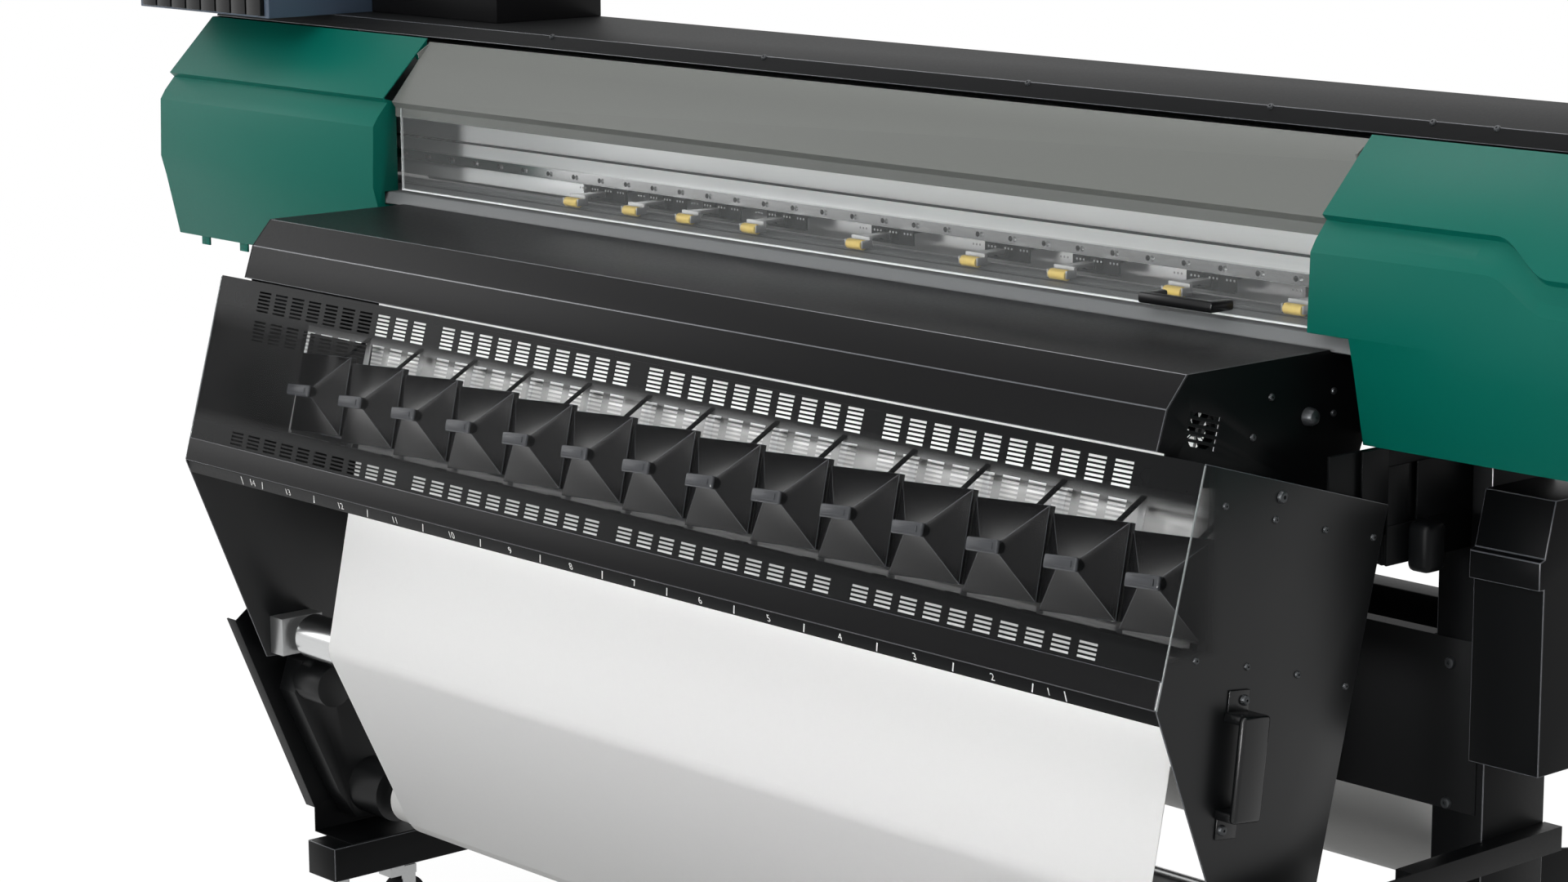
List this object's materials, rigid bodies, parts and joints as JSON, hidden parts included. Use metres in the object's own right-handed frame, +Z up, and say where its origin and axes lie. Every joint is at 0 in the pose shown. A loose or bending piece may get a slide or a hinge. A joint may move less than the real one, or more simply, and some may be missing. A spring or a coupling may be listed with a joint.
{
  "type": "wide-format roll printer",
  "caption": "Wide-format roll printer on a stand, with a front drying hood, a louvred hot-air unit and a powered take-up roll.",
  "frame": {"origin": "on the floor under the centre of the bounding box", "axes": "+Z up, +X to the machine's right seen from the front, -Y towards the operator"},
  "size_m": [3.136, 0.9588, 1.6],
  "materials": {
    "stand_legs": "satin",
    "stand_panel": "textured",
    "fasteners": "satin",
    "levelling_feet": "satin",
    "caster_fork": "satin",
    "caster_wheel": "matte",
    "chassis": "satin",
    "platen": "textured",
    "grit_roller": "satin",
    "carriage_beam": "satin",
    "linear_rail": "polished",
    "pinch_holders": "satin",
    "pinch_arms": "satin",
    "pinch_rollers": "matte",
    "print_carriage": "satin",
    "drive_belt": "matte",
    "front_cover_panel": "satin",
    "front_window": "clear",
    "window_grip": "satin",
    "top_cover": "satin",
    "left_cover": "satin",
    "right_cover": "satin",
    "control_panel": "gloss",
    "power_button": "satin",
    "ink_housing": "satin",
    "ink_tray": "satin",
    "ink_pack": "satin",
    "dryer_hood": "satin",
    "dryer_ends": "satin",
    "dryer_fan": "matte",
    "fan_box_sides": "satin",
    "fan_box_front": "smoked",
    "fan_box_back": "satin",
    "hot_air_hoods": "satin",
    "hood_mounts": "satin",
    "front_rail": "brushed",
    "ruler_strip": "printed scale",
    "side_handles": "satin",
    "guide_roller": "polished black",
    "guide_blocks": "satin",
    "media_web": "matte paper",
    "roll_brackets": "satin",
    "take_up_drive": "cast, satin",
    "take_up_roll": "matte paper",
    "supply_roll": "matte paper",
    "power_box": "satin",
    "loading_lever": "satin"
  },
  "bodies": {
    "frame": {"stand_legs": "stand_legs", "stand_panel": "stand_panel", "fasteners": "fasteners", "levelling_feet": "levelling_feet", "chassis": "chassis", "platen": "platen", "carriage_beam": "carriage_beam", "linear_rail": "linear_rail", "pinch_holders": "pinch_holders", "drive_belt": "drive_belt", "top_cover": "top_cover", "left_cover": "left_cover", "right_cover": "right_cover", "control_panel": "control_panel", "ink_housing": "ink_housing", "ink_tray": "ink_tray", "dryer_hood": "dryer_hood", "dryer_ends": "dryer_ends", "fan_box_sides": "fan_box_sides", "fan_box_front": "fan_box_front", "fan_box_back": "fan_box_back", "hot_air_hoods": "hot_air_hoods", "hood_mounts": "hood_mounts", "front_rail": "front_rail", "ruler_strip": "ruler_strip", "side_handles": "side_handles", "guide_blocks": "guide_blocks", "media_web": "media_web", "roll_brackets": "roll_brackets", "take_up_drive": "take_up_drive", "power_box": "power_box"},
    "front_cover": {"front_cover_panel": "front_cover_panel", "front_window": "front_window", "window_grip": "window_grip"},
    "carriage": {"print_carriage": "print_carriage"},
    "drive_roller": {"grit_roller": "grit_roller"},
    "pinch_lift": {"pinch_arms": "pinch_arms"},
    "pinch_wheels": {"pinch_rollers": "pinch_rollers"},
    "lever": {"loading_lever": "loading_lever"},
    "guide": {"guide_roller": "guide_roller"},
    "take_up": {"take_up_roll": "take_up_roll"},
    "supply": {"supply_roll": "supply_roll"},
    "fan": {"dryer_fan": "dryer_fan"},
    "key": {"power_button": "power_button"},
    "caster_1": {"caster_fork_1": "caster_fork"},
    "wheel_1": {"caster_wheel_1": "caster_wheel"},
    "caster_2": {"caster_fork_2": "caster_fork"},
    "wheel_2": {"caster_wheel_2": "caster_wheel"},
    "caster_3": {"caster_fork_3": "caster_fork"},
    "wheel_3": {"caster_wheel_3": "caster_wheel"},
    "caster_4": {"caster_fork_4": "caster_fork"},
    "wheel_4": {"caster_wheel_4": "caster_wheel"},
    "pack_1": {"ink_pack_1": "ink_pack"},
    "pack_2": {"ink_pack_2": "ink_pack"},
    "pack_3": {"ink_pack_3": "ink_pack"},
    "pack_4": {"ink_pack_4": "ink_pack"},
    "pack_5": {"ink_pack_5": "ink_pack"},
    "pack_6": {"ink_pack_6": "ink_pack"},
    "pack_7": {"ink_pack_7": "ink_pack"},
    "pack_8": {"ink_pack_8": "ink_pack"}
  },
  "joints": [
    {"name": "front_cover_hinge", "type": "hinge", "parent": "frame", "child": "front_cover", "pos_m": [0, -0.046, 1.326], "axis": [-1, 0, 0], "range_deg": [0, 80]},
    {"name": "carriage_slide", "type": "slide", "parent": "frame", "child": "carriage", "axis": [-1, 0, 0], "range_m": [0, 2.4]},
    {"name": "drive_roller_spin", "type": "hinge", "parent": "frame", "child": "drive_roller", "pos_m": [0, -0.03, 1.1182], "axis": [1, 0, 0], "continuous": true},
    {"name": "lever_hinge", "type": "hinge", "parent": "frame", "child": "lever", "pos_m": [-1.531, 0.06, 1.18], "axis": [-1, 0, 0], "range_deg": [0, 40]},
    {"name": "pinch_lift_hinge", "type": "hinge", "parent": "frame", "child": "pinch_lift", "pos_m": [0, 0.028, 1.14], "axis": [-1, 0, 0], "range_deg": [0, 8]},
    {"name": "pinch_wheel_spin", "type": "hinge", "parent": "pinch_lift", "child": "pinch_wheels", "pos_m": [0, -0.03, 1.1345], "axis": [1, 0, 0], "continuous": true},
    {"name": "guide_roller_spin", "type": "hinge", "parent": "frame", "child": "guide", "pos_m": [0, -0.3, 0.485], "axis": [1, 0, 0], "continuous": true},
    {"name": "take_up_spin", "type": "hinge", "parent": "frame", "child": "take_up", "pos_m": [0, -0.158, 0.217], "axis": [1, 0, 0], "continuous": true},
    {"name": "supply_spin", "type": "hinge", "parent": "frame", "child": "supply", "pos_m": [0, 0.33, 0.42], "axis": [1, 0, 0], "continuous": true},
    {"name": "fan_spin", "type": "hinge", "parent": "frame", "child": "fan", "pos_m": [0.878, -0.338, 1.048], "axis": [1, 0, 0], "continuous": true},
    {"name": "caster_swivel_1", "type": "hinge", "parent": "frame", "child": "caster_1", "pos_m": [-0.941, -0.14, 0.086], "axis": [0, 0, 1], "continuous": true},
    {"name": "caster_wheel_spin_1", "type": "hinge", "parent": "caster_1", "child": "wheel_1", "pos_m": [-0.941, -0.12, 0.036], "axis": [1, 0, 0], "continuous": true},
    {"name": "caster_swivel_2", "type": "hinge", "parent": "frame", "child": "caster_2", "pos_m": [0.941, -0.14, 0.086], "axis": [0, 0, 1], "continuous": true},
    {"name": "caster_wheel_spin_2", "type": "hinge", "parent": "caster_2", "child": "wheel_2", "pos_m": [0.941, -0.12, 0.036], "axis": [1, 0, 0], "continuous": true},
    {"name": "caster_swivel_3", "type": "hinge", "parent": "frame", "child": "caster_3", "pos_m": [-0.941, 0.34939, 0.086], "axis": [0, 0, 1], "continuous": true},
    {"name": "caster_wheel_spin_3", "type": "hinge", "parent": "caster_3", "child": "wheel_3", "pos_m": [-0.941, 0.36939, 0.036], "axis": [1, 0, 0], "continuous": true},
    {"name": "caster_swivel_4", "type": "hinge", "parent": "frame", "child": "caster_4", "pos_m": [0.941, 0.34939, 0.086], "axis": [0, 0, 1], "continuous": true},
    {"name": "caster_wheel_spin_4", "type": "hinge", "parent": "caster_4", "child": "wheel_4", "pos_m": [0.941, 0.36939, 0.036], "axis": [1, 0, 0], "continuous": true},
    {"name": "pack_slide_1", "type": "slide", "parent": "frame", "child": "pack_1", "axis": [0, -1, 0], "range_m": [0, 0.3]},
    {"name": "pack_slide_2", "type": "slide", "parent": "frame", "child": "pack_2", "axis": [0, -1, 0], "range_m": [0, 0.3]},
    {"name": "pack_slide_3", "type": "slide", "parent": "frame", "child": "pack_3", "axis": [0, -1, 0], "range_m": [0, 0.3]},
    {"name": "pack_slide_4", "type": "slide", "parent": "frame", "child": "pack_4", "axis": [0, -1, 0], "range_m": [0, 0.3]},
    {"name": "pack_slide_5", "type": "slide", "parent": "frame", "child": "pack_5", "axis": [0, -1, 0], "range_m": [0, 0.3]},
    {"name": "pack_slide_6", "type": "slide", "parent": "frame", "child": "pack_6", "axis": [0, -1, 0], "range_m": [0, 0.3]},
    {"name": "pack_slide_7", "type": "slide", "parent": "frame", "child": "pack_7", "axis": [0, -1, 0], "range_m": [0, 0.3]},
    {"name": "pack_slide_8", "type": "slide", "parent": "frame", "child": "pack_8", "axis": [0, -1, 0], "range_m": [0, 0.3]},
    {"name": "key_press", "type": "slide", "parent": "frame", "child": "key", "axis": [0, 0.7641, -0.6451], "range_m": [0, 0.002], "stiffness_N_per_m": 400}
  ],
  "couplings": [
    {"joint": "pinch_wheel_spin", "follows": "drive_roller_spin", "ratio": -1.2857},
    {"joint": "pinch_lift_hinge", "follows": "lever_hinge", "ratio": 0.2}
  ]
}
